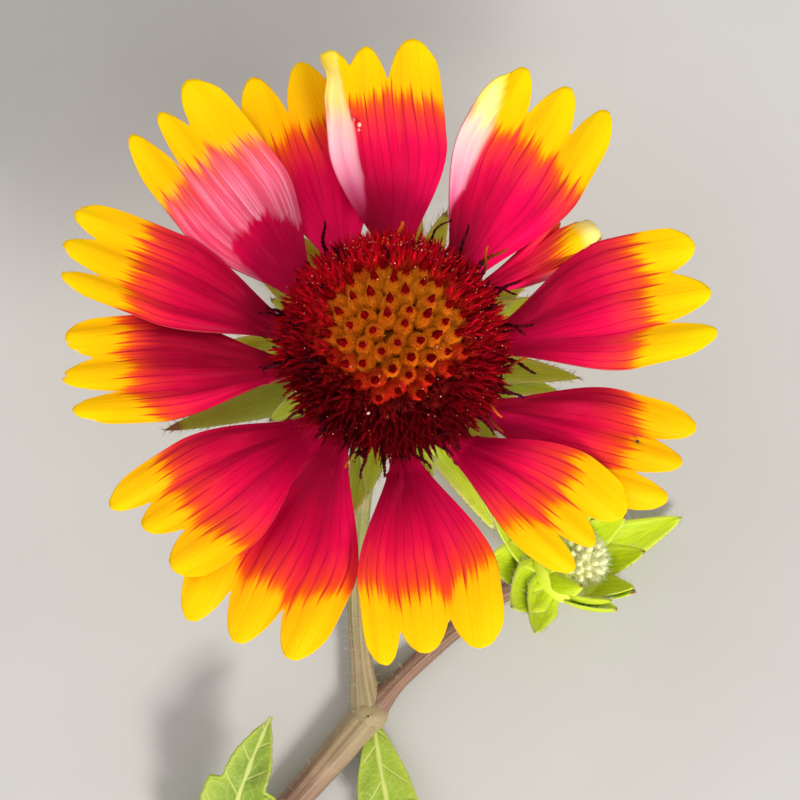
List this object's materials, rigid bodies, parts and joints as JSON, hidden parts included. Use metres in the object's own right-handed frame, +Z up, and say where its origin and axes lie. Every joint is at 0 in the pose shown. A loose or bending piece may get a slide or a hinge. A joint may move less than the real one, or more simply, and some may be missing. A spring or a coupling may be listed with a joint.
{
  "type": "cut blanket flower stem",
  "caption": "Cut blanket flower stem lying down: red and yellow rays round a bristly domed disc, a green bud, lobed leaves.",
  "frame": {"origin": "the small flat spot under the fork of the stem, where it rests on the surface", "axes": "+Z up from the surface, +Y from the cut end of the stem towards the bloom, +X towards the bud's side"},
  "size_m": [0.1223, 0.212, 0.0514],
  "materials": {
    "ray": "thin velvety petal, crimson with yellow teeth",
    "disc": "bristly, dark maroon with an orange middle",
    "bract": "soft hairy green",
    "bud_bract": "soft hairy yellow-green",
    "bud_floret": "pale, downy",
    "stem": "green to brown, finely hairy",
    "leaf": "matt green, finely hairy"
  },
  "bodies": {
    "root": {"ray_florets": "ray", "disc_florets": "disc", "bloom_bracts": "bract", "bud_bracts": "bud_bract", "bud_florets": "bud_floret", "stem": "stem", "leaf_bent_back": "leaf", "leaf_upper_left": "leaf", "leaf_upper_right": "leaf", "leaf_lower_left": "leaf", "leaf_lower_right": "leaf"}
  },
  "joints": []
}
